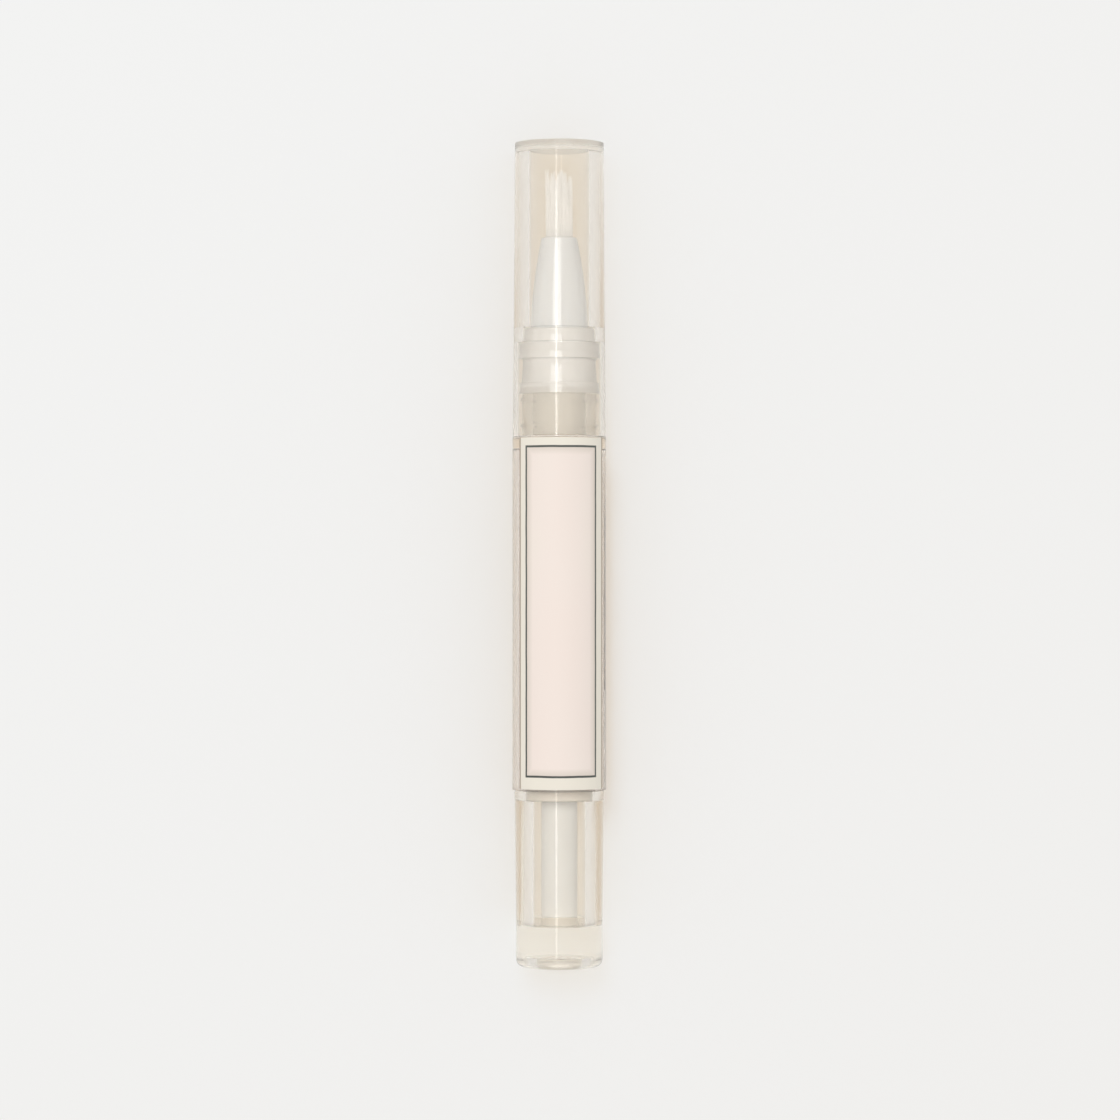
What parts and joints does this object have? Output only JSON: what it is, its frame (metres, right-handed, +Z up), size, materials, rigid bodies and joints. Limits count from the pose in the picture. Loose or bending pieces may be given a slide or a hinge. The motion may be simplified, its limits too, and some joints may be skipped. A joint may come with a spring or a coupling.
{
  "type": "nail oil pen",
  "caption": "Clear twist-up oil pen with a brush tip under a pull-off cap, a labelled oil barrel and a click knob that drives a screw and piston.",
  "frame": {"origin": "centre of the pen's length and width on the surface that it lies on", "axes": "+Y along the pen's axis from the knob to the cap, +Z up through the middle of the label, +X to the right seen from above with the cap away"},
  "size_m": [0.013, 0.114, 0.0131],
  "materials": {
    "clear_cap": "clear, polished",
    "clear_barrel": "clear, polished",
    "clear_collar": "clear, slightly frosted",
    "clear_knob": "clear, polished",
    "nozzle_plastic": "translucent white, satin",
    "bristle_nylon": "fine white nylon",
    "label_film": "smooth printed film, blank panel",
    "oil": "clear pale yellow liquid",
    "piston_plastic": "soft white, satin",
    "inner_plastic": "white moulded, satin",
    "sleeve_plastic": "translucent white, satin"
  },
  "bodies": {
    "barrel_body": {"barrel": "clear_barrel", "label": "label_film", "oil": "oil", "collar": "clear_collar", "nozzle": "nozzle_plastic", "bristles": "bristle_nylon", "tuft_retainer": "inner_plastic", "feed_tube": "inner_plastic", "thread_nut": "inner_plastic", "ratchet_ring": "inner_plastic", "guide_bush": "inner_plastic"},
    "cap_body": {"cap": "clear_cap"},
    "knob_body": {"knob": "clear_knob", "end_plug": "clear_knob", "drive_sleeve": "sleeve_plastic", "pawl_ring": "inner_plastic"},
    "piston_body": {"piston": "piston_plastic"},
    "rod_body": {"screw_rod": "inner_plastic"}
  },
  "joints": [
    {"name": "cap_pull", "type": "slide", "parent": "barrel_body", "child": "cap_body", "axis": [0, 1, 0], "range_m": [0, 0.04]},
    {"name": "knob_twist", "type": "hinge", "parent": "barrel_body", "child": "knob_body", "pos_m": [0, -0.0325, 0.0065], "axis": [0, 1, 0], "range_deg": [0, 3240]},
    {"name": "piston_slide", "type": "slide", "parent": "barrel_body", "child": "piston_body", "axis": [0, 1, 0], "range_m": [0, 0.027], "deforming": ["oil"]},
    {"name": "rod_slide", "type": "slide", "parent": "knob_body", "child": "rod_body", "axis": [0, 1, 0], "range_m": [0, 0.027]}
  ],
  "couplings": [
    {"joint": "piston_slide", "follows": "knob_twist", "m_per_rad": 0.00047746},
    {"joint": "rod_slide", "follows": "knob_twist", "m_per_rad": 0.00047746}
  ]
}
